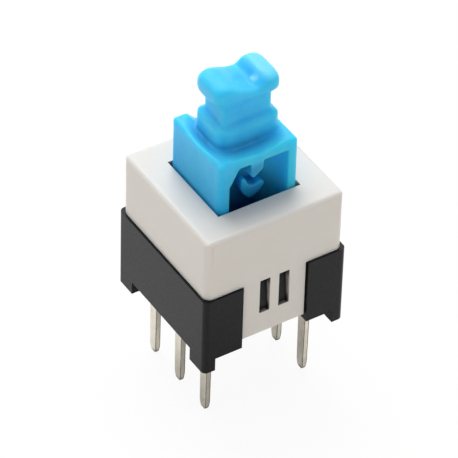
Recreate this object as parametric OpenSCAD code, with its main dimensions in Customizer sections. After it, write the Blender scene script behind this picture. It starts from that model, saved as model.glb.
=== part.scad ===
// Momentary double-pole push switch for through-hole mounting.
// Millimetres. Origin: centre of the seating plane under the four corner feet.
// +Z runs up along the plunger, -Y is the front with the cam recess.

/* [Housing] */
// Width of the base along X
body_w = 8.5; // [8.3:0.1:10]
// Depth of the base along Y
body_d = 8.5; // [8.3:0.1:10]
// Height of the base rim above the seating plane
rim_z = 4.85; // [4.7:0.05:5.2]
// Height of the cover top above the seating plane
cover_z = 8.6; // [8.5:0.05:9.2]
// Wall of the base
base_wall = 0.45; // [0.4:0.05:0.55]
// How far the cover steps in from the face of the base
cover_step = 0.14; // [0.05:0.01:0.2]
// Wall of the cover skirt inside the base
skirt_wall = 0.45; // [0.35:0.05:0.6]
// Roof of the cover
roof_t = 0.8; // [0.6:0.05:1]
// How deep the skirt goes into the base
skirt_h = 0.85; // [0.5:0.05:0.9]
// Radius of the upright corners of the base
base_corner_r = 0.3; // [0.1:0.05:0.4]
// Radius of the upright corners of the cover
cover_corner_r = 0.45; // [0.2:0.05:0.7]
// Radius along the top edges of the cover
cover_edge_r = 0.3; // [0.1:0.05:0.4]

/* [Feet and floor] */
// Height of the corner feet
foot_h = 0.8; // [0.6:0.05:1]
// Foot size along X
foot_x = 0.7; // [0.5:0.05:0.9]
// Foot size along Y
foot_y = 1.38; // [1:0.02:1.6]
// Thickness of the floor between the walls
floor_t = 0.5; // [0.4:0.05:0.6]
// Radius of the post that centres the spring
post_r = 0.5; // [0.3:0.05:0.55]
// Height of the post above the floor
post_h = 2.0; // [1:0.1:2.3]

/* [Snap tongues] */
// Width of the snap tongue on the front and the back
tongue_w = 3.74; // [3:0.02:4.2]
// Thickness of the tongue
tongue_t = 0.45; // [0.35:0.05:0.5]
// Height of the lower end of the tongue
tongue_z = 1.25; // [1:0.05:1.6]
// Width of each window in the tongue
window_w = 0.6; // [0.4:0.05:0.8]
// Height of each window
window_h = 2.2; // [1.6:0.1:2.4]
// Width of the bar between the two windows
window_bar = 0.55; // [0.4:0.05:0.8]
// Distance from the rim down to the top of the windows
window_drop = 0.05; // [0:0.05:0.4]
// How far the catches stand out of the inner wall
catch_out = 0.3; // [0.15:0.05:0.35]

/* [Terminals] */
// Distance from the side of the base in to a row of pins
row_inset = 1.25; // [1.2:0.01:1.3]
// Distance between neighbouring pins of a row
pin_pitch = 2.5; // [2.4:0.05:2.6]
// Width of a pin
pin_w = 0.62; // [0.5:0.02:0.8]
// Thickness of the terminal sheet
pin_t = 0.22; // [0.2:0.01:0.3]
// Length of the pins below the seating plane
pin_len = 4.3; // [2.5:0.1:6]
// Length of the tapered tip
pin_tip = 0.55; // [0.2:0.05:0.8]
// Width of a fixed contact blade
blade_w = 1.2; // [1:0.05:1.4]
// Width of the narrow stem of the upper contact
stem_w = 0.32; // [0.25:0.01:0.36]
// Height of one contact zone
zone_h = 1.5; // [1.2:0.05:1.7]

/* [Plunger] */
// Width of the square plunger
plunger_w = 4.7; // [4.4:0.05:4.8]
// Gap between the plunger and the opening of the cover, each side
plunger_gap = 0.09; // [0.05:0.01:0.12]
// Height of the shoulder under the knob
shoulder_z = 11.65; // [11.2:0.05:12.5]
// Travel of the plunger
travel = 2.5; // [1.5:0.1:2.5]
// Radius of the upright edges of the plunger
plunger_edge_r = 0.32; // [0.1:0.02:0.4]
// Radius along the edges of the shoulder
shoulder_edge_r = 0.26; // [0.1:0.02:0.3]
// Radius of the hollow in the shoulder
dish_r = 9.4; // [7:0.2:20]
// Depth of the hollow in the shoulder
dish_depth = 0.36; // [0.2:0.02:0.5]
// Width of the dip in the rear edge of the shoulder
dip_w = 1.8; // [1:0.1:2]
// Depth of that dip
dip_in = 0.66; // [0.3:0.02:0.7]
// Gap between the stop flange and the blades
flange_gap = 0.12; // [0.08:0.01:0.15]
// Gap between the stop flange and the skirt, front and back
flange_space = 0.35; // [0.1:0.05:0.5]
// Thickness of the stop flange
flange_t = 0.8; // [0.5:0.05:1]
// Height of the lower end of the plunger
skirt_end_z = 4.0; // [3.9:0.05:4.2]
// Radius of the spring bore
bore_r = 1.25; // [1.15:0.05:1.4]
// Height of the top of the spring bore
bore_z = 6.3; // [6:0.1:6.4]

/* [Knob] */
// Place of the middle of the knob along X
knob_x = 0.2; // [-0.1:0.01:0.25]
// Place of the middle of the knob along Y
knob_y = 0.14; // [-0.15:0.01:0.15]
// Width of the knob foot
foot_knob_w = 3.68; // [3.3:0.02:3.8]
// Depth of the knob foot
foot_knob_d = 2.66; // [2.4:0.02:2.8]
// Radius of the upright edges of the knob foot
foot_corner_r = 0.62; // [0.2:0.02:0.7]
// Radius along the top edges of the knob foot
foot_edge_r = 0.44; // [0.1:0.02:0.5]
// Height of the top of the knob foot
foot_knob_z = 12.78; // [12.5:0.02:13.1]
// Width of the neck
neck_w = 2.88; // [2.7:0.02:3.1]
// Depth of the neck
neck_d = 1.94; // [1.7:0.02:2.1]
// Radius of the upright edges of the neck
neck_r = 0.2; // [0.1:0.02:0.4]
// Height of the underside of the head
head_under_z = 13.88; // [13.7:0.02:14.1]
// Width of the head
head_w = 3.76; // [3.5:0.02:3.8]
// Depth of the head
head_d = 2.56; // [2.4:0.02:2.7]
// How far the head is set back on the neck
head_y = 0.12; // [0:0.02:0.2]
// Height of the top of the head
head_z = 15.1; // [15:0.02:15.4]
// Roundness of the left end of the head, higher is squarer
left_soft = 4.8; // [2.5:0.1:6]
// Roundness of the right end of the head, higher is squarer
right_soft = 8; // [3:0.5:9]
// Roundness of the rear edge of the head, higher is squarer
rear_soft = 3.6; // [2.5:0.1:6]
// Roundness of the front edge of the head, higher is squarer
front_soft = 4; // [2.5:0.1:6]
// Height of the widest line of the head below its top
belly_drop = 0.74; // [0.68:0.02:0.8]
// How far the right end lies below the left end
lip_drop = 0.08; // [0:0.02:0.2]
// Place of the bottom of the saddle along X
saddle_x = 0.76; // [0.5:0.02:0.9]
// Depth of the saddle in the top of the head
saddle_in = 0.64; // [0.2:0.02:0.66]
// Reach of the gentle left side of the saddle
saddle_left = 1.85; // [1.2:0.05:1.9]
// Reach of the steep right side of the saddle
saddle_right = 0.52; // [0.4:0.02:0.7]

/* [Cam recess] */
// Width of the cam recess
cam_w = 3.46; // [3:0.02:3.6]
// Depth of the cam recess
cam_in = 1.3; // [0.8:0.05:1.3]
// Height of the top edge of the recess
cam_top_z = 11.1; // [10.8:0.02:11.2]
// Height of the lower end of the recess
cam_low_z = 6.6; // [6.5:0.05:7]
// Width of the slanted upper corner
cam_slant_w = 0.56; // [0.2:0.02:0.8]
// Height of the slanted upper corner
cam_slant_h = 1.05; // [0.5:0.05:1.4]
// Width of the guide that hangs from the top edge
guide_w = 0.74; // [0.5:0.02:0.9]
// Length of the guide on its long side
guide_h = 0.96; // [0.6:0.02:1.1]
// Place of the guide along X
guide_x = -0.12; // [-0.3:0.02:0.3]
// Place of the point of the heart along X
heart_x = 0.0; // [-0.3:0.02:0.3]
// Width of the heart-shaped cam
heart_w = 1.4; // [1.1:0.02:1.5]
// Height of the heart-shaped cam
heart_h = 1.5; // [1.2:0.02:1.7]
// Height of the point of the heart
heart_z = 8.3; // [8.1:0.05:8.6]
// How far the heart stays behind the front face
heart_back = 0.56; // [0.1:0.02:0.7]
// Radius of the inner right corner of the recess
cam_corner_r = 1.3; // [0.5:0.05:1.4]

/* [Spring and moving contacts] */
// Wire of the return spring
wire_d = 0.26; // [0.2:0.02:0.3]
// Mean radius of the return spring
coil_r = 0.86; // [0.8:0.02:0.9]
// Working turns of the return spring
coil_turns = 4; // [3:1:5]
// Sheet of the moving contacts
strip_t = 0.12; // [0.08:0.01:0.15]
// Height of the moving contacts
strip_h = 1.0; // [0.8:0.05:1.1]
// Height of the middle of the moving contacts
strip_z = 5.7; // [5.6:0.05:5.8]
// Depth of the pocket that holds a moving contact
pocket_in = 0.25; // [0.2:0.01:0.35]
// Distance from the middle to the outer contact points
wing_y = 2.1; // [2:0.05:2.15]

/* [Hidden] */

$fn = 48;
fit = 0.04;              // gap of a fixed fit, each side
run = 0.05;              // gap of a moving fit, each side
over = 1;                // how far a cut runs past a face
weld = 0.1;              // how far joined shapes run into each other
touch = 0.02;            // gap between a contact point and its blade
contact_lap = 0.1;       // how far a blade stands past the contact that slides on it
wing_lead = 0.35;        // how far a moving contact runs past its outer contact point
bridge_h = 0.5;          // height of the bridge from a pin to its stem

base_x = body_w / 2;
base_y = body_d / 2;
in_x = base_x - base_wall;
in_y = base_y - base_wall;
floor_top = foot_h + floor_t;

cov_x = base_x - cover_step;
cov_y = base_y - cover_step;
skirt_x = in_x - fit;
skirt_y = in_y - fit;
hollow_x = skirt_x - skirt_wall;
hollow_y = skirt_y - skirt_wall;
roof_z = cover_z - roof_t;
hole = plunger_w / 2 + plunger_gap;

tongue_in_y = cov_y - tongue_t;          // inner face of a tongue
rear_wall_y = tongue_in_y - fit;         // outer face of the wall behind it
slot_x = tongue_w / 2 + 2 * fit;
window_top = rim_z - window_drop;
window_low = window_top - window_h;
window_x = (window_bar + window_w) / 2;

row_x = base_x - row_inset;
blade_in_x = row_x - pin_t / 2;          // contact side of the blades
blade_out_x = row_x + pin_t / 2;
ledge_z = rim_z - skirt_h - fit;         // top of the ledge behind the blades
contact_top = strip_z + strip_h / 2 + contact_lap;
upper_low = contact_top - zone_h;
lower_top = strip_z - travel + strip_h / 2 + contact_lap;
blade_edge_y = pin_pitch + pin_w / 2;    // outer edge of the end blades

body_half = plunger_w / 2;
foot_root_z = shoulder_z - max(dish_depth, dip_in) - weld;
flange_x = 2 * (blade_in_x - flange_gap);
flange_y = 2 * (hollow_y - flange_space);
flange_top = roof_z - run;
flange_z = flange_top - flange_t;
pocket_x = body_half - pocket_in;
wing_bow = blade_in_x - touch - strip_t - pocket_x;
wing_end = wing_y + wing_lead;

turns_dead = 1;
coil_steps = 20;
wire_sides = 8;

// Flat rounded rectangle of half sizes hx, hy
module plate(hx, hy, r) {
    square([2 * (hx - r), 2 * hy], center = true);
    square([2 * hx, 2 * (hy - r)], center = true);
    for (sx = [-1, 1], sy = [-1, 1])
        translate([sx * (hx - r), sy * (hy - r)]) circle(r);
}

// Upright profile of half width h with round upper corners
module arch(h, z0, z1, r) {
    translate([-h, z0]) square([2 * h, z1 - z0 - r]);
    translate([r - h, z0]) square([2 * (h - r), z1 - z0]);
    for (s = [-1, 1]) translate([s * (h - r), z1 - r]) circle(r);
}

// Block with round upright edges (rc) and round top edges (re)
module soft_block(hx, hy, z0, z1, rc, re) {
    intersection() {
        translate([0, 0, z0]) linear_extrude(z1 - z0) plate(hx, hy, rc);
        rotate([90, 0, 0]) linear_extrude(2 * hy + over, center = true) arch(hx, z0, z1, re);
        rotate([90, 0, 90]) linear_extrude(2 * hx + over, center = true) arch(hy, z0, z1, re);
    }
}

// Box from one corner to the other
module span(a, b) {
    translate(a) cube(b - a);
}

// The same shape at the front and turned to the back
module front_and_back() {
    children();
    rotate([0, 0, 180]) children();
}

// Catch that fills the foot of a window and holds the tongue down
module window_catch() {
    low = window_low + fit;
    high = window_top - fit;
    steps = 8;
    curve = [for (k = [0:steps])
        [rear_wall_y + catch_out * sin(90 * k / steps), low + (high - low) * cos(90 * k / steps)]];
    for (s = [-1, 1])
        translate([s * window_x, 0, 0])
            rotate([90, 0, -90])
                linear_extrude(window_w - 2 * fit, center = true)
                    polygon(concat([[rear_wall_y - weld, high]], curve, [[rear_wall_y - weld, low]]));
}

// Slot in the outer wall that a tongue snaps into
module tongue_slot() {
    span([-slot_x, -base_y - over, -over], [slot_x, -rear_wall_y, rim_z + over]);
}

module base() {
    color([0.16, 0.16, 0.17]) {
        difference() {
            union() {
                // outer wall
                translate([0, 0, foot_h]) linear_extrude(rim_z - foot_h) plate(base_x, base_y, base_corner_r);
                // floor slab
                span([-in_x - weld, -rear_wall_y, foot_h], [in_x + weld, rear_wall_y, floor_top]);
                // corner feet
                intersection() {
                    linear_extrude(foot_h + weld) plate(base_x, base_y, base_corner_r);
                    for (sx = [-1, 1], sy = [-1, 1])
                        translate([sx * (base_x - foot_x / 2), sy * (base_y - foot_y / 2), foot_h / 2])
                            cube([foot_x, foot_y, foot_h + 2 * weld], center = true);
                }
            }
            difference() {
                // inside of the outer wall
                span([-in_x, -in_y, floor_top], [in_x, in_y, rim_z + over]);
                // ledges behind the blades
                for (s = [-1, 1])
                    translate([s * (blade_out_x + in_x + over) / 2, 0, ledge_z / 2])
                        cube([in_x - blade_out_x + over, 2 * in_y + over, ledge_z], center = true);
                // walls behind the tongues
                for (s = [-1, 1])
                    translate([0, s * (rear_wall_y + hollow_y) / 2, (floor_top + window_top) / 2])
                        cube([tongue_w + 2 * fit, rear_wall_y - hollow_y, window_top - floor_top], center = true);
            }
            front_and_back() tongue_slot();
            // slots for the pins
            for (sx = [-1, 1], k = [-1:1])
                translate([sx * row_x, k * pin_pitch, foot_h])
                    cube([pin_t + fit, pin_w + fit, 3 * floor_t], center = true);
        }
        front_and_back() window_catch();
        translate([0, 0, floor_top - weld]) cylinder(r = post_r, h = post_h + weld);
    }
}

module cover() {
    color([0.90, 0.90, 0.90]) {
        difference() {
            union() {
                soft_block(cov_x, cov_y, rim_z, cover_z, cover_corner_r, cover_edge_r);
                // skirt inside the base, left open behind the tongues
                difference() {
                    span([-skirt_x, -skirt_y, rim_z - skirt_h], [skirt_x, skirt_y, rim_z + weld]);
                    span([-slot_x - fit, -base_y, 0], [slot_x + fit, base_y, rim_z]);
                }
                // tongues
                front_and_back()
                    span([-tongue_w / 2, -cov_y, tongue_z], [tongue_w / 2, -tongue_in_y, rim_z + weld]);
            }
            span([-hollow_x, -hollow_y, 0], [hollow_x, hollow_y, roof_z]);
            translate([0, 0, roof_z]) cube([2 * hole, 2 * hole, 4 * roof_t], center = true);
            for (s = [-1, 1])
                span([s * window_x - window_w / 2, -base_y - over, window_low],
                     [s * window_x + window_w / 2, base_y + over, window_top]);
        }
    }
}

// Outline of the heart with its notch up and its point at the origin
function heart_outline(w, h) = [
    [0, 0], [0.30 * w, 0.18 * h], [0.50 * w, 0.42 * h], [0.47 * w, 0.56 * h], [0.30 * w, 0.63 * h],
    [0.04 * w, 0.54 * h], [-0.18 * w, 0.64 * h], [-0.36 * w, h], [-0.50 * w, 0.98 * h],
    [-0.50 * w, 0.60 * h], [-0.38 * w, 0.28 * h], [-0.18 * w, 0.05 * h]];

module cam_recess() {
    half = cam_w / 2;
    difference() {
        rotate([90, 0, 0])
            translate([0, 0, body_half - cam_in])
                linear_extrude(cam_in + flange_y)
                    polygon([[-half, cam_low_z], [-half, cam_top_z - cam_slant_h], [cam_slant_w - half, cam_top_z],
                             [half, cam_top_z], [half, cam_low_z]]);
        // rounded inner right corner
        translate([half - cam_corner_r, cam_in - cam_corner_r - body_half, cam_low_z - over])
            difference() {
                cube([cam_corner_r + weld, cam_corner_r + weld, cam_top_z]);
                cylinder(r = cam_corner_r, h = cam_top_z);
            }
        // heart-shaped cam
        rotate([90, 0, 0])
            translate([heart_x, heart_z, body_half - cam_in - weld])
                linear_extrude(cam_in - heart_back + weld)
                    polygon(heart_outline(heart_w, heart_h));
        // hanging guide
        rotate([90, 0, 0])
            translate([guide_x, 0, body_half - cam_in - weld])
                linear_extrude(cam_in + weld)
                    polygon([[-guide_w / 2, cam_top_z + weld], [-guide_w / 2, cam_top_z - 0.8 * guide_h],
                             [-guide_w / 4, cam_top_z - guide_h], [guide_w / 2, cam_top_z - 0.55 * guide_h],
                             [guide_w / 2, cam_top_z + weld]]);
    }
}

// Half width of a pillow of half length 1 at the place u, squarer for a higher n
function pillow(u, n) = pow(1 - pow(abs(u), n), 1 / n);

// How far the top of the head sinks at x: gentle on the left of the saddle, steep on its right
function saddle(x) =
    let (d = x - saddle_x)
    d < -saddle_left ? 0
    : d < 0 ? saddle_in * (1 + cos(180 * d / saddle_left)) / 2
    : d < saddle_right ? lip_drop + (saddle_in - lip_drop) * (1 + cos(180 * d / saddle_right)) / 2
    : lip_drop;

// Soft head, closed by rings of points along X
module head() {
    rings = 30;
    sides = 28;
    reach = 86;          // degrees from the middle to the small flat that closes each end
    belly_z = head_z - belly_drop;
    points = [for (i = [0:rings])
        let (u = sin(reach * (2 * i / rings - 1)), x = u * head_w / 2,
             open = pillow(u, u < 0 ? left_soft : right_soft),
             rise = (belly_drop - saddle(x + knob_x)) * open, sink = (belly_z - head_under_z) * open)
        for (k = [0:sides - 1])
            let (a = 360 * (k + 0.5) / sides, c = cos(a), h = pillow(c, c > 0 ? rear_soft : front_soft))
            [x, c * open * head_d / 2, belly_z + (sin(a) > 0 ? rise * h : -sink * h)]];
    skin = [for (i = [0:rings - 1], k = [0:sides - 1])
        let (j = (k + 1) % sides)
        each [[i * sides + k, (i + 1) * sides + k, (i + 1) * sides + j],
              [i * sides + k, (i + 1) * sides + j, i * sides + j]]];
    ends = [[for (k = [0:sides - 1]) k], [for (k = [sides - 1:-1:0]) rings * sides + k]];
    polyhedron(points, concat(skin, ends));
}

module knob() {
    translate([knob_x, knob_y, 0]) {
        soft_block(foot_knob_w / 2, foot_knob_d / 2, foot_root_z, foot_knob_z, foot_corner_r, foot_edge_r);
        // neck with round upright edges
        translate([0, 0, foot_knob_z - weld])
            linear_extrude(head_z - belly_drop - foot_knob_z + weld) plate(neck_w / 2, neck_d / 2, neck_r);
        translate([0, head_y, 0]) head();
    }
}

module plunger() {
    color([0.20, 0.62, 0.86]) {
        difference() {
            union() {
                difference() {
                    soft_block(body_half, body_half, skirt_end_z, shoulder_z, plunger_edge_r, shoulder_edge_r);
                    translate([0, 0, shoulder_z - dish_depth + dish_r]) sphere(dish_r, $fn = 96);
                    // dip in the rear edge
                    rotate([90, 0, 0])
                        translate([0, 0, -body_half - over])
                            linear_extrude(body_half + over)
                                polygon([[-dip_w / 2, shoulder_z - dip_in], [dip_w / 2, shoulder_z - dip_in],
                                         [dip_w / 2 + dip_in, shoulder_z], [dip_w / 2 + dip_in, shoulder_z + over],
                                         [-dip_w / 2 - dip_in, shoulder_z + over], [-dip_w / 2 - dip_in, shoulder_z]]);
                }
                span([-flange_x / 2, -flange_y / 2, flange_z], [flange_x / 2, flange_y / 2, flange_top]);
            }
            cam_recess();
            translate([0, 0, skirt_end_z - over]) cylinder(r = bore_r, h = bore_z - skirt_end_z + over);
            // side pockets for the moving contacts
            for (s = [-1, 1])
                translate([s * (pocket_x + pocket_in), 0, strip_z])
                    cube([2 * pocket_in, plunger_w + over, strip_h + fit], center = true);
        }
        knob();
    }
}

// Height of the spring wire's middle after t turns
function coil_z(t) =
    let (low = floor_top + wire_d / 2, high = bore_z - wire_d / 2, dead = wire_d * 1.02,
         work = (high - low - 2 * dead * turns_dead) / coil_turns)
    t < turns_dead ? low + dead * t
    : t < turns_dead + coil_turns ? low + dead * turns_dead + work * (t - turns_dead)
    : low + dead * turns_dead + work * coil_turns + dead * (t - turns_dead - coil_turns);

module return_spring() {
    turns = coil_turns + 2 * turns_dead;
    n = turns * coil_steps;
    rings = [for (i = [0:n])
        let (t = i / coil_steps, a = 360 * t)
        [for (k = [0:wire_sides - 1])
            let (b = 360 * (k + 0.5) / wire_sides, r = coil_r + wire_d / 2 * cos(b))
            [r * cos(a), r * sin(a), coil_z(t) + wire_d / 2 * sin(b)]]];
    points = [for (ring = rings) each ring];
    sides = [for (i = [0:n - 1], k = [0:wire_sides - 1])
        let (j = (k + 1) % wire_sides)
        each [[i * wire_sides + k, i * wire_sides + j, (i + 1) * wire_sides + j],
              [i * wire_sides + k, (i + 1) * wire_sides + j, (i + 1) * wire_sides + k]]];
    ends = [[for (k = [wire_sides - 1:-1:0]) k], [for (k = [0:wire_sides - 1]) n * wire_sides + k]];
    color([0.78, 0.78, 0.76]) polyhedron(points, concat(sides, ends));
}

// Waved strip that touches the blades at its middle and at both wings
module moving_contact(side) {
    n = 48;
    line = [for (i = [0:n])
        let (y = -wing_end + 2 * wing_end * i / n)
        [pocket_x + wing_bow * (0.5 + 0.5 * cos(360 * y / wing_y)), y]];
    color([0.82, 0.66, 0.42])
        translate([0, 0, strip_z - strip_h / 2])
            linear_extrude(strip_h)
                polygon(concat([for (p = line) [side * p[0], p[1]]],
                               [for (i = [n:-1:0]) [side * (line[i][0] + strip_t), line[i][1]]]));
}

// One terminal: pin below, contact blade above. reach is the blade's free side along Y
module terminal(side, place, kind) {
    y0 = place * pin_pitch;
    color([0.80, 0.79, 0.76])
        translate([side * row_x - pin_t / 2, 0, 0])
            rotate([90, 0, 90])
                linear_extrude(pin_t) {
                    // pin with a tapered tip
                    polygon([[y0 - pin_w / 2, floor_top + weld], [y0 - pin_w / 2, pin_tip - pin_len],
                             [y0 - pin_w / 6, -pin_len], [y0 + pin_w / 6, -pin_len],
                             [y0 + pin_w / 2, pin_tip - pin_len], [y0 + pin_w / 2, floor_top + weld]]);
                    if (kind == "common")
                        translate([-blade_w / 2, floor_top]) square([blade_w, contact_top - floor_top]);
                    if (kind == "upper") {
                        translate([-blade_edge_y, floor_top]) square([pin_w, bridge_h]);
                        translate([-blade_edge_y, floor_top]) square([stem_w, contact_top - floor_top]);
                        translate([-blade_edge_y, upper_low]) square([blade_w, zone_h]);
                    }
                    if (kind == "lower")
                        translate([blade_edge_y - blade_w, floor_top]) square([blade_w, lower_top - floor_top]);
                }
}

base();
cover();
plunger();
return_spring();
moving_contact(-1);  // moving_contact_left
moving_contact(1);  // moving_contact_right
terminal(-1, -1, "upper");  // terminal_left_front
terminal(-1, 0, "common");  // terminal_left_middle
terminal(-1, 1, "lower");  // terminal_left_rear
terminal(1, -1, "upper");  // terminal_right_front
terminal(1, 0, "common");  // terminal_right_middle
terminal(1, 1, "lower");  // terminal_right_rear
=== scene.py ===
"""Looks of a momentary double-pole push switch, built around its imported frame.

Every size is in millimetres in the part's own frame: the origin is the middle of
the seating plane, +Z runs up along the plunger and -Y is the front.
"""

import logging
import math
from dataclasses import dataclass, field
from enum import Enum
from typing import Any

import bmesh
import bpy
from mathutils import Matrix, Vector
from mathutils.bvhtree import BVHTree


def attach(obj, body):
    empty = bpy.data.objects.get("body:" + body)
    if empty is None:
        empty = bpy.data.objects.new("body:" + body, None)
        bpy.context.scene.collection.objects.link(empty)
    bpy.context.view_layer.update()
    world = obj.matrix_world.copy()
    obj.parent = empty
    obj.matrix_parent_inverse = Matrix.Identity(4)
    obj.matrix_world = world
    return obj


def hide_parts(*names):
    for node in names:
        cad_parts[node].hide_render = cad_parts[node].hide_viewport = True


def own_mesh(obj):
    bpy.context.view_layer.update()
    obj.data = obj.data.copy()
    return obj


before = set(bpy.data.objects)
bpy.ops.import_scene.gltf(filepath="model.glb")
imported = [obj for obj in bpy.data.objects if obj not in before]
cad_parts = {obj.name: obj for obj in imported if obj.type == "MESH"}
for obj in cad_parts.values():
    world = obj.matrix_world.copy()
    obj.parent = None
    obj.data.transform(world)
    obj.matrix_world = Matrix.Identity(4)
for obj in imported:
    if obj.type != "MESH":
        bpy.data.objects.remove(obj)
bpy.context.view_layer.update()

MM = 0.001  # metres in a millimetre
LOG = logging.getLogger("switch")

HOUSING = "housing"
PLUNGER = "plunger_body"
GATE = (0.92, -0.23)  # where the sprue broke off the top of the head
WHITE = "FFFFFF"

Point = tuple[float, float, float]
Band = tuple[float, float]  # where something starts, and where it is full


class Side(Enum):
    """The two rows of pins, with their direction along X."""

    LEFT = -1
    RIGHT = 1


class Contact(Enum):
    """The three blades of a change-over row, with their name and their place along it."""

    UPPER = ("front", -1)
    COMMON = ("middle", 0)
    LOWER = ("rear", 1)


def linear(code: str) -> tuple[float, float, float, float]:
    """Turn an sRGB hex colour into a linear colour.

    Args:
        code: Six hex digits, such as "E8E6E1".

    Returns:
        Red, green, blue and alpha in linear light.
    """
    parts = [int(code[i:i + 2], 16) / 255 for i in (0, 2, 4)]
    r, g, b = (c / 12.92 if c <= 0.04045 else ((c + 0.055) / 1.055) ** 2.4 for c in parts)
    return r, g, b, 1.0


def rise(value: float, band: Band) -> float:
    """Tell how far a value has come in a band.

    Args:
        value: The value, on any scale.
        band: Where the share starts to rise from 0, and where it reaches 1.

    Returns:
        The share, from 0 to 1.
    """
    start, full = band
    return min(1.0, max(0.0, (value - start) / (full - start)))


def add(tree: bpy.types.NodeTree, kind: str, inputs: dict[Any, Any] | None = None,
        **settings: Any) -> bpy.types.Node:
    """Add a node with its settings and links.

    Args:
        tree: The node tree that takes the node.
        kind: The node's type name.
        inputs: A value or an output socket for each input, by name or number.
        **settings: Properties of the node, such as operation="ADD".

    Returns:
        The new node.
    """
    made = tree.nodes.new(kind)
    for key, value in settings.items():
        setattr(made, key, value)
    for key, value in (inputs or {}).items():
        if isinstance(value, bpy.types.NodeSocket):
            tree.links.new(value, made.inputs[key])
        else:
            made.inputs[key].default_value = value
    return made


def set_all_over(shader: bpy.types.Node, constants: dict[str, Any]) -> None:
    """Set what is the same all over the surface on the shader's own sockets.

    Args:
        shader: The shader.
        constants: The value for each socket, by name.
    """
    for socket, value in constants.items():
        shader.inputs[socket].default_value = value


# --------------------------------------------------------------------- finishes


@dataclass(frozen=True)
class Finish:
    """A surface finish: what the thing is made of and how its face was made.

    Clouds shift the colour from light to shade, and a finer grain moves the gloss
    and the height. Where a corner or a pocket closes in within reach, painted shade
    takes the colour over to that of the crease, and the face is dulled. Sizes are in
    millimetres, and shut gives the share of open space at which the painted shade
    starts and is full.
    """

    name: str
    slot: str
    light: str
    shade: str
    cloud: float
    grain: float
    gloss: tuple[float, float]
    relief: float
    along: Point = (1.0, 1.0, 1.0)
    # painted shade in creases: its colour ("" for none), how far it looks, the open share where it
    # starts and is full, and how much it dulls
    crease: str = ""
    reach: float = 1.0
    shut: Band = (0.9, 0.35)
    dulled: float = 0.0
    rays: int = 8
    cloud_detail: float = 3.0
    grain_detail: float = 2.0
    grain_band: Band = (0.3, 0.7)
    grain_deep: float = 0.01

    def dress(self, tree: bpy.types.NodeTree, shader: bpy.types.Node,
              place: bpy.types.NodeSocket) -> None:
        """Add what only this finish has; the plain finish has nothing more."""

    def paint_crease_shade(self, tree: bpy.types.NodeTree, colour: bpy.types.NodeSocket,
                 gloss: bpy.types.NodeSocket) -> tuple[bpy.types.NodeSocket, bpy.types.NodeSocket]:
        """Paint shade into the colour and dull the face where the surface closes in on itself.

        Args:
            tree: The material's node tree.
            colour: The colour in the open.
            gloss: The roughness in the open.

        Returns:
            The colour with the painted shade of its creases, and the roughness.
        """
        # painted shade: with little open space within reach, the colour goes over to the crease
        # colour
        free = add(tree, "ShaderNodeAmbientOcclusion", {"Distance": self.reach * MM},
                   samples=self.rays, only_local=True).outputs["AO"]
        sunk = add(tree, "ShaderNodeMapRange", {"Value": free, "From Min": self.shut[0],
                                                "From Max": self.shut[1]}).outputs[0]
        colour = add(tree, "ShaderNodeMix", {0: sunk, 6: colour, 7: linear(self.crease)},
                     data_type="RGBA").outputs[2]
        gloss = add(tree, "ShaderNodeMath", {0: sunk, 1: self.dulled, 2: gloss},
                    operation="MULTIPLY_ADD", use_clamp=True).outputs[0]
        return colour, gloss

    def material(self) -> bpy.types.Material:
        """Build the material, once for all the pieces that share it.

        Returns:
            The finish as a material.
        """
        made = bpy.data.materials.get(self.name)
        if made is not None:
            return made
        made = bpy.data.materials.new(self.name)
        made.use_nodes = True
        tree = made.node_tree
        tree.nodes.clear()
        where = add(tree, "ShaderNodeTexCoord").outputs["Object"]
        place = add(tree, "ShaderNodeMapping", {"Vector": where, "Scale": (1 / MM,) * 3}).outputs[0]
        run = add(tree, "ShaderNodeMapping", {"Vector": place,
                                              "Scale": tuple(1 / a for a in self.along)}).outputs[0]
        clouds = add(tree, "ShaderNodeTexNoise", {"Vector": place, "Scale": 1 / self.cloud,
                                                  "Detail": self.cloud_detail}).outputs[0]
        grain = add(tree, "ShaderNodeTexNoise", {"Vector": run, "Scale": 1 / self.grain,
                                                 "Detail": self.grain_detail}).outputs[0]
        colour = add(tree, "ShaderNodeMix", {0: clouds, 6: linear(self.light),
                                             7: linear(self.shade)}, data_type="RGBA").outputs[2]
        gloss = add(tree, "ShaderNodeMapRange", {
            "Value": grain, "From Min": self.grain_band[0], "From Max": self.grain_band[1],
            "To Min": self.gloss[0], "To Max": self.gloss[1]}).outputs[0]
        if self.crease:
            colour, gloss = self.paint_crease_shade(tree, colour, gloss)
        bump = add(tree, "ShaderNodeBump", {"Height": grain, "Strength": self.relief,
                                            "Distance": self.grain_deep * MM}).outputs[0]
        shader = add(tree, "ShaderNodeBsdfPrincipled", {"Base Color": colour, "Normal": bump,
                                                        "Roughness": gloss})
        add(tree, "ShaderNodeOutputMaterial", {"Surface": shader.outputs[0]})
        self.dress(tree, shader, place)
        return made


@dataclass(frozen=True)
class SatinAbs(Finish):
    """White ABS from a finely spark-eroded mould: a soft satin that hides its edges."""

    ior: float = 1.54
    soak: float = 0.4
    soak_tint: Point = (1.0, 0.75, 0.6)
    soak_deep: float = 0.6

    def dress(self, tree: bpy.types.NodeTree, shader: bpy.types.Node,
              place: bpy.types.NodeSocket) -> None:
        """Let a little light go under the face, so edges look milky."""
        set_all_over(shader, {
            "IOR": self.ior, "Subsurface Weight": self.soak,
            "Subsurface Radius": self.soak_tint, "Subsurface Scale": self.soak_deep * MM})


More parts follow.
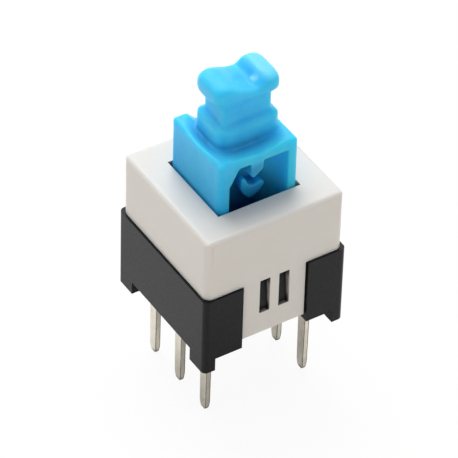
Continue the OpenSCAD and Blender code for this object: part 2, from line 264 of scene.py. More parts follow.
@dataclass(frozen=True)
class GlassFilledPbt(Finish):
    """Black glass-filled PBT, moulded: matt, with a dry speckle where fibres reach the face."""

    ior: float = 1.55
    shine: float = 0.15
    fibre: str = "1C1C1F"
    fibre_size: Point = (0.125, 0.2, 0.1)  # the ends are 0.01 mm across, drawn coarser so they show
    fibre_band: Band = (0.5, 0.75)

    def dress(self, tree: bpy.types.NodeTree, shader: bpy.types.Node,
              place: bpy.types.NodeSocket) -> None:
        """Draw short streaks of fibre, lighter than the resin, that lie along the flow.

        Args:
            tree: The material's node tree.
            shader: The material's shader.
            place: The place on the part, in millimetres.
        """
        flow = add(tree, "ShaderNodeMapping", {
            "Vector": place, "Scale": tuple(1 / size for size in self.fibre_size)}).outputs[0]
        streaks = add(tree, "ShaderNodeTexNoise", {"Vector": flow, "Scale": 1.0,
                                                   "Detail": self.cloud_detail}).outputs[0]
        pick = add(tree, "ShaderNodeMapRange", {"Value": streaks, "From Min": self.fibre_band[0],
                                                "From Max": self.fibre_band[1]}).outputs[0]
        resin = shader.inputs["Base Color"].links[0].from_socket
        speckled = add(tree, "ShaderNodeMix", {0: pick, 6: resin, 7: linear(self.fibre)},
                       data_type="RGBA").outputs[2]
        tree.links.new(speckled, shader.inputs["Base Color"])
        set_all_over(shader, {"IOR": self.ior, "Specular IOR Level": self.shine})


@dataclass(frozen=True)
class TintedPom(Finish):
    """Sky-blue acetal, moulded: light soaks in and softens every edge, the face is waxy.

    Each mark lies where its bands of X, Y or Z overlap. Painted shade deepens the
    colour towards the bottom and darkens the pocket and its guide, painted light
    brightens the wall on the right, the scar of the gate is pale, and a painted sheen
    lies on the ridge of the head.
    """

    # painted shade: the blue deepens towards the bottom of the plunger
    low_shade: str = "129EDC"
    low_shade_z: Band = (12.0, 7.0)
    # painted shade in the pocket, and on the guide that hangs in it
    pocket_shade: str = "053A74"
    pocket_x: Band = (1.85, 1.6)
    pocket_y: Band = (-2.25, -2.0)
    pocket_z: Band = (10.3, 7.1)
    # where the guide's painted shade lies, and how dark it gets
    guide_x: Band = (0.62, 0.5)
    guide_y: Band = (-2.0, -2.25)
    guide_z: Band = (11.15, 10.8)
    guide_most: float = 0.38
    # painted light: the wall on the right is lighter
    glow: str = "3ECEF6"
    glow_x: Band = (0.5, 2.0)
    glow_most: float = 0.8
    # pale tone of the gate scar, and of the painted sheen on the ridge
    pale: str = "B4E2F4"
    scar_r: float = 0.34
    scar_rim: Band = (1.5, 0.5)  # in radii
    scar_z: float = 14.75
    scar_most: float = 0.55
    ragged: float = 0.2
    # where the painted sheen lies on the ridge of the head
    ridge_x: Band = (0.7, 1.3)
    ridge_z: Band = (14.7, 15.05)
    ridge_sheen_most: float = 0.36
    ior: float = 1.48
    shine: float = 0.38
    glint: str = "A4DAF8"
    soak: float = 1.0
    soak_tint: Point = (0.2, 0.7, 1.0)
    soak_deep: float = 1.2

    def overlap(self, tree: bpy.types.NodeTree, bands: list[tuple[bpy.types.NodeSocket, Band]],
                most: float = 1.0) -> bpy.types.NodeSocket:
        """Find where several soft bands overlap.

        Args:
            tree: The material's node tree.
            bands: The measure of each band, with where it starts and where it is full.
            most: The share in the middle of the overlap.

        Returns:
            The share.
        """
        share = most
        for value, (start, full) in bands:
            part = add(tree, "ShaderNodeMapRange", {"Value": value, "From Min": start,
                                                    "From Max": full}).outputs[0]
            share = add(tree, "ShaderNodeMath", {0: share, 1: part},
                        operation="MULTIPLY").outputs[0]
        return share

    def scar(self, tree: bpy.types.NodeTree, place: bpy.types.NodeSocket) -> bpy.types.NodeSocket:
        """Find the ragged pale spot where the gate was broken off.

        Args:
            tree: The material's node tree.
            place: The place on the part, in millimetres.

        Returns:
            The spot's share.
        """
        off = add(tree, "ShaderNodeVectorMath", {0: place, 1: (*GATE, self.scar_z)},
                  operation="DISTANCE").outputs["Value"]
        torn = add(tree, "ShaderNodeTexNoise", {"Vector": place,
                                                "Scale": 1 / self.ragged}).outputs[0]
        rim = add(tree, "ShaderNodeMath", {0: torn, 1: self.scar_r, 2: off},
                  operation="MULTIPLY_ADD").outputs[0]
        start, full = (radii * self.scar_r for radii in self.scar_rim)
        return self.overlap(tree, [(rim, (start, full))], self.scar_most)

    def dress(self, tree: bpy.types.NodeTree, shader: bpy.types.Node,
              place: bpy.types.NodeSocket) -> None:
        """Paint shade, light and sheen, add the pale scar, and let light spread far under it.

        Args:
            tree: The material's node tree.
            shader: The material's shader.
            place: The place on the part, in millimetres.
        """
        x, y, z = add(tree, "ShaderNodeSeparateXYZ", {0: place}).outputs
        wide = add(tree, "ShaderNodeMath", {0: x}, operation="ABSOLUTE").outputs[0]
        # painted shade, deeper blue towards the bottom
        deep = self.overlap(tree, [(z, self.low_shade_z)])
        # painted shade in the pocket and on its guide
        pocket = self.overlap(tree, [(wide, self.pocket_x), (y, self.pocket_y), (z, self.pocket_z)])
        guide = self.overlap(tree, [(wide, self.guide_x), (y, self.guide_y), (z, self.guide_z)],
                             self.guide_most)
        # painted light on the wall on the right
        lit = self.overlap(tree, [(x, self.glow_x)], self.glow_most)
        # painted sheen on the ridge, mixed in one with the pale gate scar
        ridge = self.overlap(tree, [(x, self.ridge_x), (z, self.ridge_z)], self.ridge_sheen_most)
        faint = add(tree, "ShaderNodeMath", {0: self.scar(tree, place), 1: ridge},
                    operation="MAXIMUM").outputs[0]
        face = shader.inputs["Base Color"].links[0].from_socket
        # mix in the painted shades, the painted light, and the scar with the painted sheen
        for share, tone in ((deep, self.low_shade), (pocket, self.pocket_shade), (guide, self.pocket_shade),
                            (lit, self.glow), (faint, self.pale)):
            face = add(tree, "ShaderNodeMix", {0: share, 6: face, 7: linear(tone)},
                       data_type="RGBA").outputs[2]
        tree.links.new(face, shader.inputs["Base Color"])
        set_all_over(shader, {
            "IOR": self.ior, "Specular IOR Level": self.shine,
            "Specular Tint": linear(self.glint), "Subsurface Weight": self.soak,
            "Subsurface Radius": self.soak_tint, "Subsurface Scale": self.soak_deep * MM})


@dataclass(frozen=True)
class DrawnMetal(Finish):
    """Strip or wire with fine lines along the way it was rolled or drawn, dull in patches."""

    def dress(self, tree: bpy.types.NodeTree, shader: bpy.types.Node,
              place: bpy.types.NodeSocket) -> None:
        """Make it metal throughout, with the default IOR."""
        set_all_over(shader, {"Metallic": 1.0})


@dataclass(frozen=True)
class TinnedStrip(DrawnMetal):
    """Brass strip tinned before it was stamped: bright faces, and painted shade at the tip."""

    # painted shade at the tip: its colour, and where it starts and is full
    tip_shade: str = "5E5544"
    tip_shade_z: Band = (-4.12, -4.28)

    def dress(self, tree: bpy.types.NodeTree, shader: bpy.types.Node,
              place: bpy.types.NodeSocket) -> None:
        """Darken the pin just above its tip with painted shade.

        Args:
            tree: The material's node tree.
            shader: The material's shader.
            place: The place on the part, in millimetres.
        """
        super().dress(tree, shader, place)
        height = add(tree, "ShaderNodeSeparateXYZ", {0: place}).outputs[2]
        # painted shade: the colour darkens over the last of the pin
        darkened_tip = add(tree, "ShaderNodeMapRange", {"Value": height, "From Min": self.tip_shade_z[0],
                                                "From Max": self.tip_shade_z[1]}).outputs[0]
        tin = shader.inputs["Base Color"].links[0].from_socket
        both = add(tree, "ShaderNodeMix", {0: darkened_tip, 6: tin, 7: linear(self.tip_shade)},
                   data_type="RGBA").outputs[2]
        tree.links.new(both, shader.inputs["Base Color"])


# the real spark grain is 0.02 mm, drawn at 0.11 mm so it shows as a soft satin
# painted shade, a dark warm brown, in the windows and the corners that close in
WHITE_ABS = SatinAbs("satin_white_abs", "white_cover", light="DCDAD7", shade="D8D5D0", cloud=1.8,
                     grain=0.11, gloss=(0.40, 0.50), relief=0.12,
                     crease="35261C", reach=0.7, shut=(0.93, 0.65))
# a dry matt black, hardly darker in its clouds
BLACK_PBT = GlassFilledPbt("matt_black_pbt", "black_base", light="0C0C0D", shade="0F0F10",
                           cloud=1.2, grain=0.09, gloss=(0.32, 0.44), relief=0.2)
# waxy, with deep blue painted shade in its creases, which are also dulled
BLUE_POM = TintedPom("sky_blue_acetal", "blue_plunger", light="54D2F8", shade="34BCF0", cloud=0.7,
                     grain=0.14, gloss=(0.32, 0.44), relief=0.2,
                     crease="004A9E", reach=1.2, shut=(0.76, 0.24), dulled=0.9)
# drawing lines are 0.01 mm apart, drawn at 0.05 mm so they show down the pins
# painted shade darkens the coined grooves down the pins
TINNED = TinnedStrip("tinned_brass_strip", "tinned_brass", light="ECE6D8", shade="C4BDAD",
                     cloud=0.35, grain=0.05, gloss=(0.14, 0.28), relief=0.2,
                     along=(1.0, 1.0, 24.0), crease="2E2A24", reach=0.06, shut=(0.95, 0.5))
# bright wire with the faint haze of its drawing die
SPRING_STEEL = DrawnMetal("drawn_spring_steel", "spring_wire", light="B9B8B4", shade="A3A19B",
                          cloud=0.6, grain=0.04, gloss=(0.24, 0.34), relief=0.1)
# warm strip with rolling lines along the row
BRONZE = DrawnMetal("rolled_contact_bronze", "contact_bronze", light="C79A5B", shade="B2834A",
                    cloud=0.6, grain=0.04, gloss=(0.26, 0.38), relief=0.15, along=(1.0, 20.0, 1.0))


# ------------------------------------------------------------------ mesh helpers


def solid(name: str, mesh: bpy.types.Mesh) -> bpy.types.Object:
    """Put a mesh into the scene as an object at the origin.

    Args:
        name: The object's name.
        mesh: Its mesh.

    Returns:
        The object.
    """
    made = bpy.data.objects.new(name, mesh)
    bpy.context.scene.collection.objects.link(made)
    return made


def flatten(shape: bpy.types.Object) -> bpy.types.Mesh:
    """Turn an object with modifiers into a plain mesh.

    Args:
        shape: The object; it is deleted.

    Returns:
        The finished mesh.
    """
    bpy.context.view_layer.update()
    graph = bpy.context.evaluated_depsgraph_get()
    mesh = bpy.data.meshes.new_from_object(shape.evaluated_get(graph), depsgraph=graph)
    bpy.data.objects.remove(shape)
    return mesh


def keep(shape: bmesh.types.BMesh, name: str) -> bpy.types.Mesh:
    """Turn a finished bmesh into a mesh with faces that point outwards.

    Args:
        shape: The bmesh; it is freed.
        name: The mesh's name.

    Returns:
        The mesh.
    """
    bmesh.ops.recalc_face_normals(shape, faces=shape.faces)
    mesh = bpy.data.meshes.new(name)
    shape.to_mesh(mesh)
    shape.free()
    return mesh


def merged(node: str, near: float = 1e-4, flat: float = 0.5) -> bpy.types.Mesh:
    """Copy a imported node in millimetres, with its loose triangles joined into whole faces.

    Args:
        node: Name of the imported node.
        near: Corners closer than this become one.
        flat: Triangles within this many degrees of each other become one face.

    Returns:
        The copy's mesh.
    """
    shape = bmesh.new()
    shape.from_mesh(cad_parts[node].data)
    bmesh.ops.scale(shape, vec=(1 / MM,) * 3, verts=shape.verts)
    bmesh.ops.remove_doubles(shape, verts=shape.verts, dist=near)
    bmesh.ops.dissolve_limit(shape, angle_limit=math.radians(flat), verts=shape.verts,
                             edges=shape.edges)
    mesh = bpy.data.meshes.new(node)
    shape.to_mesh(mesh)
    shape.free()
    return mesh


@dataclass
class Piece:
    """A finished piece that stands for one node of the frame.

    Edges flatter than smooth_below, in degrees, are shaded smooth.
    """

    name: str
    node: str
    body: str
    finish: Finish
    smooth_below: float = 40.0

    def shade(self, mesh: bpy.types.Mesh) -> None:
        """Shade a mesh smooth up to its sharp edges."""
        mesh.shade_smooth()
        mesh.set_sharp_from_angle(angle=math.radians(self.smooth_below))

    def place(self, mesh: bpy.types.Mesh, shaded: bool = False) -> bpy.types.Object:
        """Bring a mesh in millimetres to its place, dress it and tie it to its body.

        Args:
            mesh: The piece's mesh.
            shaded: Whether the mesh has its shading already.

        Returns:
            The piece's object.
        """
        mesh.transform(Matrix.Scale(MM, 4))
        if not shaded:
            self.shade(mesh)
        mesh.materials.clear()
        mesh.materials.append(self.finish.material())
        made = solid(self.name, mesh)
        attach(made, self.body)
        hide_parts(self.node)
        LOG.info("%s: %d faces, rides on %s", self.name, len(mesh.polygons), self.body)
        return made


@dataclass
class Moulding(Piece):
    """A moulded shell: the node's own solid with its sharp edges broken."""

    edge: float = 0.05
    rounds: int = 3
    sharp_above: float = 32.0

    def build(self) -> bpy.types.Object:
        """Break the edges, and weigh the normals so flat faces stay flat.

        Returns:
            The piece's object.
        """
        shape = solid(self.name + "_raw", merged(self.node))
        bevel = shape.modifiers.new("edges", "BEVEL")
        bevel.width = self.edge
        bevel.segments = self.rounds
        bevel.limit_method = "ANGLE"
        bevel.angle_limit = math.radians(self.sharp_above)
        bevel.use_clamp_overlap = True
        bevel.miter_outer = "MITER_ARC"
        mesh = flatten(shape)
        self.shade(mesh)
        shape = solid(self.name + "_raw", mesh)
        weigh = shape.modifiers.new("weigh", "WEIGHTED_NORMAL")
        weigh.keep_sharp = True
        return self.place(flatten(shape), shaded=True)


@dataclass
class Plunger(Piece):
    """The blue plunger: every edge is round, the knob is softer than the body under it.

    The knob and its root are relaxed further. At its near left corner the head's lip
    flows into the neck, and the front end of the ridge on the head is worn down.
    """

    smooth_below: float = 60.0
    voxel: float = 0.05
    ease: float = 0.5
    passes: int = 6
    thinned: float = 0.5
    knob_z: float = 11.7
    knob_passes: int = 26
    root_z: float = 10.5
    root_half: tuple[float, float] = (2.1, 1.6)
    root_fade: float = 0.3
    clear_z: float = 20.0
    gate_r: float = 0.34
    gate_h: float = 0.035
    gate_taper: float = 0.8
    gate_sides: int = 24
    flow_passes: int = 220
    lip_low: Band = (12.9, 13.2)
    lip_high: Band = (14.7, 14.45)
    lip_x: Band = (1.0, 0.3)
    lip_y: Band = (-0.1, -0.6)
    ridge_x: float = 0.75
    ridge_half: Band = (0.7, 0.35)
    ridge_y: Band = (-0.25, -0.6)
    ridge_z: float = 14.5

    def gated(self) -> bpy.types.Mesh:
        """Add the nub that is left where the sprue broke off the top of the head.

        A quarter of the cone stands out, and the rest is sunk so that it joins.

        Returns:
            The node's solid with its nub.
        """
        mesh = merged(self.node)
        shape = bmesh.new()
        shape.from_mesh(mesh)
        above = Vector((*GATE, self.clear_z))
        top = BVHTree.FromBMesh(shape).ray_cast(above, Vector((0.0, 0.0, -1.0)))[0]
        LOG.info("%s: gate left at a height of %.2f mm", self.name, top.z)
        bmesh.ops.create_cone(
            shape, cap_ends=True, segments=self.gate_sides, radius1=self.gate_r,
            radius2=self.gate_taper * self.gate_r, depth=4 * self.gate_h,
            matrix=Matrix.Translation(top - Vector((0, 0, self.gate_h))))
        shape.to_mesh(mesh)
        shape.free()
        return mesh

    def softness(self, spot: Vector) -> float:
        """Tell how far a point belongs to the knob and its root, where edges melt.

        Args:
            spot: The point.

        Returns:
            The share; below 0 it is clear of both.
        """
        share = (spot.z - self.knob_z) / self.root_fade
        if spot.z > self.root_z:
            inside = min(self.root_half[0] - abs(spot.x), self.root_half[1] - abs(spot.y))
            share = max(share, inside / self.root_fade + 1)
        return min(1.0, share)

    def flow(self, spot: Vector) -> float:
        """Tell how far a point belongs to the flowing lip or the worn end of the ridge.

        Args:
            spot: The point.

        Returns:
            The share, from 0 to 1.
        """
        lip = (rise(spot.z, self.lip_low) * rise(spot.z, self.lip_high)
               * rise(spot.x, self.lip_x) * rise(spot.y, self.lip_y))
        ridge = rise(abs(spot.x - self.ridge_x), self.ridge_half) * rise(spot.y, self.ridge_y)
        return max(lip, ridge if spot.z > self.ridge_z else 0.0)

    def build(self) -> bpy.types.Object:
        """Skin the solid with even small faces, relax them and thin the flat areas.

        Returns:
            The piece's object.
        """
        shape = solid(self.name + "_raw", self.gated())
        skin = shape.modifiers.new("skin", "REMESH")
        skin.mode = "VOXEL"
        skin.voxel_size = self.voxel
        relax = shape.modifiers.new("relax", "SMOOTH")
        relax.factor = self.ease
        relax.iterations = self.passes
        mesh = flatten(shape)
        shape = solid(self.name + "_raw", mesh)
        for label, measure, passes in (("knob", self.softness, self.knob_passes),
                                       ("flow", self.flow, self.flow_passes)):
            group = shape.vertex_groups.new(name=label)
            for point in mesh.vertices:
                share = measure(point.co)
                if share > 0:
                    group.add([point.index], share, "REPLACE")
            melt = shape.modifiers.new(label, "SMOOTH")
            melt.factor = self.ease
            melt.iterations = passes
            melt.vertex_group = label
        thin = shape.modifiers.new("thin", "DECIMATE")
        thin.ratio = self.thinned
        return self.place(flatten(shape))


@dataclass
class Terminal:
    """A stamped terminal: a coined pin with a round nose below, a contact blade above.

    The pin narrows by slim down to its tip, and its nose keeps nose_w of its width.
    A coined groove of half width and depth crease runs beside each of its edges.
    """

    side: Side
    kind: Contact
    row: float = 3.0
    pitch: float = 2.5
    sheet: float = 0.22
    floor: float = 1.3
    lap: float = 0.3
    pin_w: float = 0.64
    pin_t: float = 0.33
    tip_z: float = -4.3
    slim: float = 0.8
    nose: float = 0.64
    nose_w: float = 0.6
    nose_power: float = 1.9
    rings: int = 14
    corner: float = 0.025
    crease: tuple[float, float] = (0.02, 0.03)
    foot: float = 0.62
    blade: float = 1.2
    stem: float = 0.32
    bridge: float = 0.5
    top: float = 6.3
    zone: float = 1.5
    low_top: float = 3.8
    edge: float = 0.03
    rounds: int = 2
    sharp_above: float = 60.0

    def ring(self, z: float) -> list[tuple[float, float]]:
        """Walk once round the pin at a height.

        Args:
            z: The height.

        Returns:
            The outline in X and Y from the middle of the pin.
        """
        share = max(0.0, (self.tip_z + self.nose - z) / self.nose)
        blunt = max(0.0, 1 - share ** self.nose_power) ** (1 / self.nose_power)
        left = self.nose_w + (1 - self.nose_w) * blunt
        slim = 1 - (1 - self.slim) * min(1.0, max(0.0, z / self.tip_z))
        half_w = self.pin_w / 2 * slim * left
        half_t = self.pin_t / 2 * left
        inner = half_t - self.corner
        wide, deep = self.crease
        half = [(half_t, half_w - self.corner), (inner, half_w), (inner - wide, half_w - deep),
                (inner - 2 * wide, half_w)]
        half += [(-x, y) for x, y in reversed(half)]
        return half + [(-x, -y) for x, y in half]

    def pin(self, shape: bmesh.types.BMesh, middle: float) -> None:
        """Stack rings of points from the blade down to the nose.

        Args:
            shape: The bmesh that takes the pin.
            middle: Place of the pin along Y.
        """
        x = self.side.value * self.row
        heights = [self.floor + self.lap, 0.0, self.tip_z + self.nose]
        heights += [self.tip_z + self.nose * (1 - math.sin(math.pi / 2 * k / self.rings))
                    for k in range(1, self.rings + 1)]
        stack = [[shape.verts.new((x + a, middle + b, z)) for a, b in self.ring(z)]
                 for z in heights]
        for upper, lower in zip(stack, stack[1:]):
            for wall in zip(upper, upper[1:] + upper[:1], lower[1:] + lower[:1], lower):
                shape.faces.new(wall)
        shape.faces.new(stack[0])
        shape.faces.new(stack[-1])

    def head(self) -> list[tuple[float, float]]:
        """Walk once round the blade from its foot.

        Returns:
            The blade's outline in Y and Z.
        """
        middle, half = self.kind.value[1] * self.pitch, self.foot / 2
        low = self.floor - self.lap
        if self.kind is Contact.COMMON:
            wide = self.blade / 2
            return [(-wide, low), (wide, low), (wide, self.top), (-wide, self.top)]
        if self.kind is Contact.LOWER:
            far = middle + half
            return [(far, low), (far, self.low_top), (far - self.blade, self.low_top),
                    (far - self.blade, low)]
        near, zone_z, step = middle - half, self.top - self.zone, self.floor + self.bridge
        return [(near, low), (middle + half, low), (middle + half, step), (near + self.stem, step),
                (near + self.stem, zone_z), (near + self.blade, zone_z),
                (near + self.blade, self.top), (near, self.top)]

    def build(self) -> bpy.types.Object:
        """Cut the blade from sheet, join the pin to it and break the edges.

        Returns:
            The piece's object.
        """
        place, at = self.kind.value
        name = f"terminal_{self.side.name.lower()}_{place}"
        shape = bmesh.new()
        x = self.side.value * self.row - self.sheet / 2
        face = shape.faces.new([shape.verts.new((x, y, z)) for y, z in self.head()])
        grown = bmesh.ops.extrude_face_region(shape, geom=[face])
        bmesh.ops.translate(shape, vec=(self.sheet, 0, 0),
                            verts=[v for v in grown["geom"] if isinstance(v, bmesh.types.BMVert)])
        blade = solid(name + "_raw", keep(shape, name))
        shape = bmesh.new()
        self.pin(shape, at * self.pitch)
        pin = solid(name + "_pin", keep(shape, name + "_pin"))
        join = blade.modifiers.new("join", "BOOLEAN")
        join.operation = "UNION"
        join.object = pin
        bevel = blade.modifiers.new("edges", "BEVEL")
        bevel.width = self.edge
        bevel.segments = self.rounds
        bevel.limit_method = "ANGLE"
        bevel.angle_limit = math.radians(self.sharp_above)
        mesh = flatten(blade)
        bpy.data.objects.remove(pin)
        return Piece(name + "_stamping", name, HOUSING, TINNED).place(mesh)


# ---------------------------------------------------------------- grown pieces


@dataclass
class Grown(Piece):
    """A piece that a node group grows from named sizes."""

    tree: bpy.types.NodeTree = field(init=False)
    size: Any = field(init=False)

    def open(self, sizes: dict[str, float]) -> None:
        """Start the group with one named input for each size.

        Args:
            sizes: The sizes by name; a whole number gets a whole input.
        """
        self.tree = bpy.data.node_groups.new(self.name, "GeometryNodeTree")
        self.tree.interface.new_socket("Geometry", in_out="OUTPUT",
                                       socket_type="NodeSocketGeometry")
        for label, value in sizes.items():
            kind = "NodeSocketInt" if isinstance(value, int) else "NodeSocketFloat"
            self.tree.interface.new_socket(label, in_out="INPUT", socket_type=kind)
        self.size = add(self.tree, "NodeGroupInput").outputs

    def sweep(self, line: bpy.types.NodeSocket, section: bpy.types.NodeSocket) -> None:
        """Draw the section along a line of points and end the group.

        Args:
            line: A mesh of points joined in a line.
            section: The closed curve of the section.
        """
        tree = self.tree
        curve = add(tree, "GeometryNodeMeshToCurve", {"Mesh": line}).outputs[0]
        level = add(tree, "GeometryNodeSetCurveNormal", {"Curve": curve}, mode="Z_UP").outputs[0]
        swept = add(tree, "GeometryNodeCurveToMesh", {"Curve": level, "Profile Curve": section,
                                                      "Fill Caps": True}).outputs[0]
        real = add(tree, "GeometryNodeRealizeInstances", {"Geometry": swept}).outputs[0]
        dressed = add(tree, "GeometryNodeSetMaterial", {"Geometry": real,
                                                        "Material": self.finish.material()})
        add(tree, "NodeGroupOutput", {0: dressed.outputs[0]})

    def grow(self, sizes: dict[str, float]) -> bpy.types.Object:
        """Run the group once with its sizes, and bring what grew to its place.

        Args:
            sizes: The size for each named input.

        Returns:
            The piece's object.
        """
        carrier = solid(self.name + "_raw", bpy.data.meshes.new(self.name))
        run = carrier.modifiers.new("grow", "NODES")
        run.node_group = self.tree
        for item in self.tree.interface.items_tree:
            if item.item_type == "SOCKET" and item.in_out == "INPUT":
                run[item.identifier] = sizes[item.name]
        return self.place(flatten(carrier))


@dataclass
class ReturnSpring(Grown):
    """Compression spring round the post, with a dead turn at each end.

    The dead turns lie slack times the wire apart. The share pressed is not used.
    """

    smooth_below: float = 60.0
    wire: float = 0.26
    radius: float = 0.86
    low: float = 1.3
    high: float = 6.3
    turns: int = 4
    dead: int = 1
    slack: float = 1.02
    steps: int = 40
    sides: int = 12
    pressed: float = 0.5

    def build(self) -> bpy.types.Object:
        """Sweep the wire along its coil.

        Returns:
            The piece's object.
        """
        tight = self.slack * self.wire
        pitch = (self.high - self.low - self.wire - 2 * self.dead * tight) / self.turns
        sizes = {"Wire radius": self.wire / 2, "Radius": self.radius,
                 "Start": self.low + self.wire / 2, "Dead pitch": tight, "Pitch": pitch,
                 "Turns": self.turns, "Dead turns": self.dead, "Steps": self.steps,
                 "Sides": self.sides}
        self.open(sizes)
        tree, size = self.tree, self.size
        total = add(tree, "ShaderNodeMath", {0: size["Dead turns"], 1: 2.0, 2: size["Turns"]},
                    operation="MULTIPLY_ADD").outputs[0]
        count = add(tree, "ShaderNodeMath", {0: total, 1: size["Steps"], 2: 1.0},
                    operation="MULTIPLY_ADD").outputs[0]
        line = add(tree, "GeometryNodeMeshLine", {"Count": count}).outputs[0]
        index = add(tree, "GeometryNodeInputIndex").outputs[0]
        turn = add(tree, "ShaderNodeMath", {0: index, 1: size["Steps"]},
                   operation="DIVIDE").outputs[0]
        past = add(tree, "ShaderNodeMath", {0: turn, 1: size["Dead turns"]},
                   operation="SUBTRACT").outputs[0]
        free = add(tree, "ShaderNodeClamp", {"Value": past, "Min": 0.0,
                                             "Max": size["Turns"]}).outputs[0]
        shut = add(tree, "ShaderNodeMath", {0: turn, 1: free}, operation="SUBTRACT").outputs[0]
        start = add(tree, "ShaderNodeMath", {0: shut, 1: size["Dead pitch"], 2: size["Start"]},
                    operation="MULTIPLY_ADD").outputs[0]
        z = add(tree, "ShaderNodeMath", {0: free, 1: size["Pitch"], 2: start},
                operation="MULTIPLY_ADD").outputs[0]
        arm = add(tree, "ShaderNodeCombineXYZ", {0: size["Radius"], 2: z}).outputs[0]
        angle = add(tree, "ShaderNodeMath", {0: turn, 1: math.tau},
                    operation="MULTIPLY").outputs[0]
        spot = add(tree, "ShaderNodeVectorRotate", {"Vector": arm, "Angle": angle},
                   rotation_type="Z_AXIS").outputs[0]
        coil = add(tree, "GeometryNodeSetPosition", {"Geometry": line,
                                                     "Position": spot}).outputs[0]
        section = add(tree, "GeometryNodeCurvePrimitiveCircle", {
            "Resolution": size["Sides"], "Radius": size["Wire radius"]}).outputs[0]
        self.sweep(coil, section)
        made = self.grow(sizes)
        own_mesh(made)
        return made


@dataclass
class MovingContact(Grown):
    """Waved bronze strip that bridges the blades of one row."""

    side: Side = Side.RIGHT
    seat: float = 2.1
    bow: float = 0.65
    wing: float = 2.1
    reach: float = 2.45
    sheet: float = 0.12
    height: float = 1.0
    middle: float = 5.7
    steps: int = 96

    def build(self) -> bpy.types.Object:
        """Sweep the strip's section along its wave.

        Returns:
            The piece's object.
        """
        sizes = {"Side": float(self.side.value), "Seat": self.seat + self.sheet / 2,
                 "Bow": self.bow, "Wing": self.wing, "Reach": self.reach, "Sheet": self.sheet,
                 "Height": self.height, "Middle": self.middle, "Steps": self.steps}
        self.open(sizes)
        tree, size = self.tree, self.size
        count = add(tree, "ShaderNodeMath", {0: size["Steps"], 1: 1.0}, operation="ADD").outputs[0]
        line = add(tree, "GeometryNodeMeshLine", {"Count": count}).outputs[0]
        index = add(tree, "GeometryNodeInputIndex").outputs[0]
        share = add(tree, "ShaderNodeMath", {0: index, 1: size["Steps"]},
                    operation="DIVIDE").outputs[0]
        across = add(tree, "ShaderNodeMath", {0: share, 1: 2.0, 2: -1.0},
                     operation="MULTIPLY_ADD").outputs[0]
        y = add(tree, "ShaderNodeMath", {0: across, 1: size["Reach"]},
                operation="MULTIPLY").outputs[0]
        phase = add(tree, "ShaderNodeMath", {0: y, 1: size["Wing"]}, operation="DIVIDE").outputs[0]
        angle = add(tree, "ShaderNodeMath", {0: phase, 1: math.tau},
                    operation="MULTIPLY").outputs[0]
        wave = add(tree, "ShaderNodeMath", {0: angle}, operation="COSINE").outputs[0]
        swing = add(tree, "ShaderNodeMath", {0: wave, 1: 0.5, 2: 0.5},
                    operation="MULTIPLY_ADD").outputs[0]
        out = add(tree, "ShaderNodeMath", {0: swing, 1: size["Bow"], 2: size["Seat"]},
                  operation="MULTIPLY_ADD").outputs[0]
        x = add(tree, "ShaderNodeMath", {0: out, 1: size["Side"]}, operation="MULTIPLY").outputs[0]
        spot = add(tree, "ShaderNodeCombineXYZ", {0: x, 1: y, 2: size["Middle"]}).outputs[0]
        path = add(tree, "GeometryNodeSetPosition", {"Geometry": line,
                                                     "Position": spot}).outputs[0]
        section = add(tree, "GeometryNodeCurvePrimitiveQuadrilateral", {
            "Width": size["Sheet"], "Height": size["Height"]}).outputs[0]
        self.sweep(path, section)
        return self.grow(sizes)


# ----------------------------------------------------------------------- studio


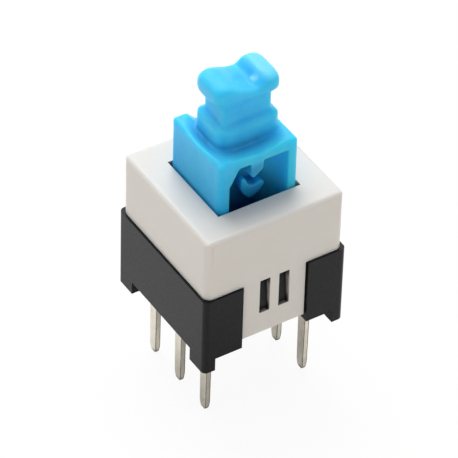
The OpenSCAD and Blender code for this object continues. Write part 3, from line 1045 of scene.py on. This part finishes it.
@dataclass
class Studio:
    """White floor and background, a soft lamp behind the part, and the camera."""

    floor_z: float = -4.32
    floor_size: float = 600.0
    floor_tone: str = "F3EBE0"
    floor_glow: float = 0.92
    turn: float = -33.141
    lift: float = 41.567
    roll: float = 1.754
    distance: float = 205.883
    aim: Point = (0.0, 0.0, 6.0)
    slide: tuple[float, float] = (-0.189, -0.887)
    focal: float = 316.19
    sensor: float = 36.0
    clip: tuple[float, float] = (1.0, 10000.0)
    sky: float = 0.64
    key_from: Point = (0.12, 0.5, 0.8)
    key_far: float = 230.0
    key_size: float = 200.0
    key_power: float = 0.38

    def camera(self) -> None:
        """Place the camera by its turn round the part, its lift and its roll."""
        a, e, r = (math.radians(v) for v in (self.turn, self.lift, self.roll))
        back = Vector((math.sin(a) * math.cos(e), -math.cos(a) * math.cos(e), math.sin(e)))
        level = Vector((math.cos(a), math.sin(a), 0.0))
        over = back.cross(level)
        right = level * math.cos(r) + over * math.sin(r)
        up = over * math.cos(r) - level * math.sin(r)
        spot = (Vector(self.aim) + right * self.slide[0] + up * self.slide[1]
                + back * self.distance)
        turned = Matrix((right, up, back)).transposed().to_4x4()
        lens = bpy.data.cameras.new("camera")
        lens.sensor_width = self.sensor
        lens.lens = self.focal
        lens.clip_start, lens.clip_end = (v * MM for v in self.clip)
        made = bpy.data.objects.new("camera", lens)
        made.matrix_world = Matrix.Translation(spot * MM) @ turned
        bpy.context.scene.collection.objects.link(made)
        bpy.context.scene.camera = made

    def backdrop(self) -> None:
        """Hang white all round for the eye and in gloss, with a softer even light."""
        world = bpy.data.worlds.new("studio")
        world.use_nodes = True
        tree = world.node_tree
        tree.nodes.clear()
        path = add(tree, "ShaderNodeLightPath").outputs
        eye = add(tree, "ShaderNodeMath", {0: path["Is Camera Ray"], 1: path["Is Glossy Ray"]},
                  operation="MAXIMUM").outputs[0]
        seen = add(tree, "ShaderNodeMath", {0: eye, 1: path["Is Transmission Ray"]},
                   operation="MAXIMUM").outputs[0]
        lit = add(tree, "ShaderNodeBackground", {"Color": linear(WHITE), "Strength": self.sky})
        shown = add(tree, "ShaderNodeBackground", {"Color": linear(WHITE), "Strength": 1.0})
        both = add(tree, "ShaderNodeMixShader", {0: seen, 1: lit.outputs[0], 2: shown.outputs[0]})
        add(tree, "ShaderNodeOutputWorld", {"Surface": both.outputs[0]})
        bpy.context.scene.world = world

    def board(self) -> bpy.types.Material:
        """Paint the floor: it glows for the eye, keeps a faint shadow and reflects white.

        Returns:
            The floor's material.
        """
        made = bpy.data.materials.new("white_board")
        made.use_nodes = True
        tree = made.node_tree
        tree.nodes.clear()
        path = add(tree, "ShaderNodeLightPath").outputs
        eye = add(tree, "ShaderNodeMath", {0: path["Is Camera Ray"],
                                           1: path["Is Transmission Ray"]},
                  operation="MAXIMUM").outputs[0]
        glow = add(tree, "ShaderNodeMath", {0: eye, 1: self.floor_glow},
                   operation="MULTIPLY").outputs[0]
        seen = add(tree, "ShaderNodeMath", {0: eye, 1: path["Is Glossy Ray"]},
                   operation="MAXIMUM").outputs[0]
        tone = add(tree, "ShaderNodeMix", {0: seen, 6: linear(self.floor_tone),
                                           7: linear(WHITE)}, data_type="RGBA").outputs[2]
        matt = add(tree, "ShaderNodeBsdfDiffuse", {"Color": tone})
        light = add(tree, "ShaderNodeEmission", {"Color": linear(WHITE), "Strength": 1.0})
        both = add(tree, "ShaderNodeMixShader", {0: glow, 1: matt.outputs[0],
                                                 2: light.outputs[0]})
        add(tree, "ShaderNodeOutputMaterial", {"Surface": both.outputs[0]})
        return made

    def floor(self) -> None:
        """Lay the white board under the pins."""
        half = self.floor_size / 2
        mesh = bpy.data.meshes.new("floor")
        mesh.from_pydata([(-half, -half, self.floor_z), (half, -half, self.floor_z),
                          (half, half, self.floor_z), (-half, half, self.floor_z)],
                         [], [(0, 1, 2, 3)])
        mesh.transform(Matrix.Scale(MM, 4))
        mesh.materials.append(self.board())
        solid("floor", mesh)

    def lamp(self) -> None:
        """Hang the broad soft lamp, turned to the part."""
        key = bpy.data.lights.new("key", "AREA")
        key.shape = "DISK"
        key.size = self.key_size * MM
        key.energy = self.key_power
        made = bpy.data.objects.new("key", key)
        away = Vector(self.key_from).normalized()
        made.location = (Vector(self.aim) + away * self.key_far) * MM
        made.rotation_euler = away.to_track_quat("Z", "Y").to_euler()
        bpy.context.scene.collection.objects.link(made)

    def build(self) -> None:
        """Set up the whole studio."""
        self.camera()
        self.backdrop()
        self.floor()
        self.lamp()
        bpy.context.scene.view_settings.view_transform = "Standard"


def main() -> None:
    """Build the switch piece by piece, then the studio round it."""
    logging.basicConfig(level=logging.INFO, format="%(name)s: %(message)s")
    Moulding("base_moulding", "base", HOUSING, BLACK_PBT).build()
    Moulding("cover_moulding", "cover", HOUSING, WHITE_ABS).build()
    Plunger("plunger_moulding", "plunger", PLUNGER, BLUE_POM).build()
    for side in Side:
        for kind in Contact:
            Terminal(side, kind).build()
        node = f"moving_contact_{side.name.lower()}"
        MovingContact(node + "_strip", node, PLUNGER, BRONZE, side=side).build()
    ReturnSpring("return_spring_coil", "return_spring", HOUSING, SPRING_STEEL).build()
    Studio().build()


if __name__ == "__main__":
    main()
